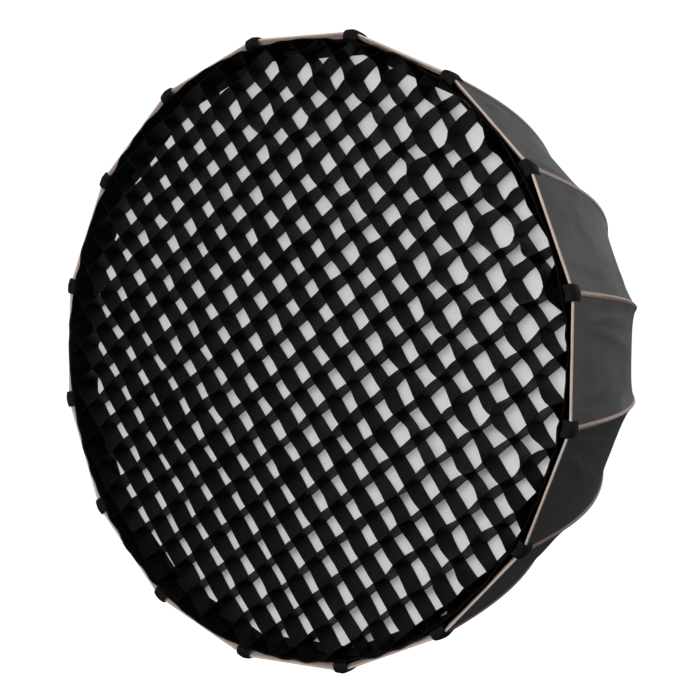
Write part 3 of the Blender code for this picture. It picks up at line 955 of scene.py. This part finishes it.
def make_grid_border():
    """Band of doubled cloth round the grid, with a rolled front hem."""
    steps = RIB_COUNT * 24
    angles = RIB_ANGLES[0] + np.arange(steps) / steps * 2 * math.pi
    thick = 0.0013
    front, rear = GRID_FRONT + 0.0002, GRID_REAR - 0.0004
    outline = [(0.0, 0.0), (0.0010, thick * 0.9), (0.0030, thick * 0.9), (0.0042, thick * 0.5),
               (0.012, thick * 0.5), (0.026, thick * 0.5), (rear - front, thick * 0.5),
               (rear - front, -thick * 0.5), (0.026, -thick * 0.5), (0.012, -thick * 0.5),
               (0.0042, -thick * 0.5), (0.0030, -thick * 0.9), (0.0010, -thick * 0.9)]
    sections = []
    for back, outward in outline:
        radius = border_radius(angles, back / (rear - front)) + outward
        y = np.full(steps, front + back)
        sections.append(np.stack([radius * np.cos(angles), y, radius * np.sin(angles)], 1))
    sections = np.stack(sections, 1)
    around = np.array([back for back, outward in outline])
    flat = np.stack(np.broadcast_arrays(around[None, :], (angles * GRID_RADIUS)[:, None]), -1)
    band = swept("grid_border", sections, [GRID_BLACK], flat, cyclic=True)
    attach(band, "grid")
    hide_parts("egg_crate_grid")


# ---------------------------------------------------------------- diffuser

def make_diffuser():
    """White cloth held to the hem, with faint ripples near its edge, and a black binding round it."""
    rings, steps = 60, RIB_COUNT * 16
    angles = RIB_ANGLES[0] + np.arange(steps) / steps * 2 * math.pi
    rng = np.random.default_rng(RANDOM_SEED + 5)
    waves = [
        (rng.integers(3, 40), rng.uniform(0, 2 * math.pi), rng.uniform(0.0002, 0.0007))
        for _ in range(14)
    ]
    front = DIFFUSER_LOW.y + 0.0002
    edge = DIFFUSER_RADIUS - 0.0005
    points, flats = [], []
    for ring in range(1, rings + 1):
        share = ring / rings
        radius = polygon_apothem(angles, edge) * share
        ripple = sum(h * np.sin(n * angles + p) * share**6 for n, p, h in waves)
        y = front + 0.0022 * (1 - share**2) + np.abs(ripple) * (1 - share**24)
        points.append(np.stack([radius * np.cos(angles), y, radius * np.sin(angles)], 1))
        flats.append(points[-1][:, [0, 2]])
    face = np.stack(points)
    back = face + np.array([0, 0.0006, 0])
    count = rings * steps
    centres = [(0, front + 0.0022, 0), (0, front + 0.0028, 0)]
    verts = np.concatenate([face.reshape(-1, 3), back.reshape(-1, 3), centres])
    faces = grid_faces(rings, steps, closed=True)
    faces += grid_faces(rings, steps, count, flip=True, closed=True)
    last = (rings - 1) * steps
    for c in range(steps):
        d = (c + 1) % steps
        faces.append((c, 2 * count, d))
        faces.append((count + d, 2 * count + 1, count + c))
        faces.append((last + d, last + c, last + c + count, last + d + count)[::-1])
    flat = np.concatenate([np.concatenate(flats), np.concatenate(flats), [(0, 0)], [(0, 0)]])
    cloth = new_object("diffuser_cloth", verts, faces, [DIFFUSER_WHITE])
    set_cloth(cloth, flat)
    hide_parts("front_diffuser")
    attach(cloth, "diffuser")
    outline = [(-0.013, -0.0004), (0.0, -0.0008), (0.0004, 0.0010), (0.0004, 0.0072), (-0.0016, 0.0078),
               (-0.0050, 0.0072), (-0.0054, 0.0014), (-0.013, 0.0012)]
    sections = []
    for outward, deep in outline:
        radius = polygon_apothem(angles, edge) + outward
        y = np.full(steps, front + deep)
        sections.append(np.stack([radius * np.cos(angles), y, radius * np.sin(angles)], 1))
    sections = np.stack(sections, 1)
    around = np.linspace(0, 0.04, len(outline))
    flat = np.stack(np.broadcast_arrays(around[None, :], (angles * edge)[:, None]), -1)
    hem = swept("diffuser_hem", sections, [HEM_BLACK], flat, cyclic=True)
    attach(hem, "diffuser")


# ---------------------------------------------------------------- hub

CUFF_PLEATS = 84
CUFF_THICK = 0.0006
CUFF_FLARE = 0.80  # share of its length where the sleeve starts to widen
CUFF_BAND = 0.2  # share of its length where a short bulge ends and a long one starts
CUFF_WAIST = 0.0833  # radius at its front end


def make_cuff():
    """Elastic sleeve gathered round the hub, which widens into a lip at the shell's rear opening."""
    low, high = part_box("rear_cuff")
    rng = np.random.default_rng(RANDOM_SEED + 3)
    steps = CUFF_PLEATS * 6
    angles = np.arange(steps) / steps * 2 * math.pi
    drift = sum(rng.uniform(0.5, 1.0) * np.sin(n * angles + rng.uniform(0, 6)) for n in (2, 3, 5))
    pleat = 0.5 + 0.5 * np.sin(CUFF_PLEATS * angles + drift)
    lip = high.x
    shares = np.linspace(0, 1, 24)
    outer = []
    for share in shares:
        flare = min(max((share - CUFF_FLARE) / (1 - CUFF_FLARE), 0), 1)
        puff = 0.00015 + 0.0008 * math.sin(math.pi * min(share / CUFF_BAND, 1))
        puff += 0.0010 * math.sin(math.pi * min(max((share - CUFF_BAND) / (1 - CUFF_BAND), 0), 1))
        radius = CUFF_WAIST + (lip - CUFF_WAIST - 0.0002) * flare**1.5 + puff * (0.3 + 0.7 * pleat)
        y = np.full(steps, high.y + (low.y - high.y) * share)
        outer.append(np.stack([radius * np.cos(angles), y, radius * np.sin(angles)], 1))
    outer = np.stack(outer, 1)
    inward = np.stack([np.cos(angles), np.zeros(steps), np.sin(angles)], 1)[:, None, :] * CUFF_THICK
    inner = outer - inward
    sections = np.concatenate([outer, inner[:, ::-1]], axis=1)
    round_it = np.concatenate([[0], np.cumsum(np.linalg.norm(np.diff(outer[:, 12], axis=0), axis=-1))])
    length = high.y - low.y
    down = np.concatenate([shares, shares[::-1]]) * length
    flat = np.stack(np.broadcast_arrays(down[None, :], round_it[:, None]), -1)
    cuff = swept("cuff_cloth", sections, [SHELL_CLOTH], flat, cyclic=True)
    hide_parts("rear_cuff")
    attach(cuff, "hub")


# ---------------------------------------------------------------- carried nodes

def dress_nodes():
    surfaces = {
        "speed_ring": ANODISED,
        "runner_ring": ANODISED,
        "hub_body": HUB_PLASTIC,
        "hub_front_cover": HUB_PLASTIC,
        "hinge_wire": STEEL,
        "retaining_clip": STEEL,
    }
    for name, node in frame["nodes"].items():
        surface = surfaces.get(name)
        if name.startswith("rib_"):
            surface = ROD_PAINT
        if surface is None:
            continue
        if not node.material_slots:
            node.data.materials.append(surface)
        for slot in node.material_slots:
            slot.material = surface


make_camera()
make_studio()
for rib_number in range(RIB_COUNT):
    make_sector(rib_number)
    make_rim_binding(rib_number)
    make_rib_binding(rib_number)
    make_rear_binding(rib_number)
    make_pocket(rib_number)
make_grid()
make_grid_border()
make_diffuser()
make_cuff()
dress_nodes()
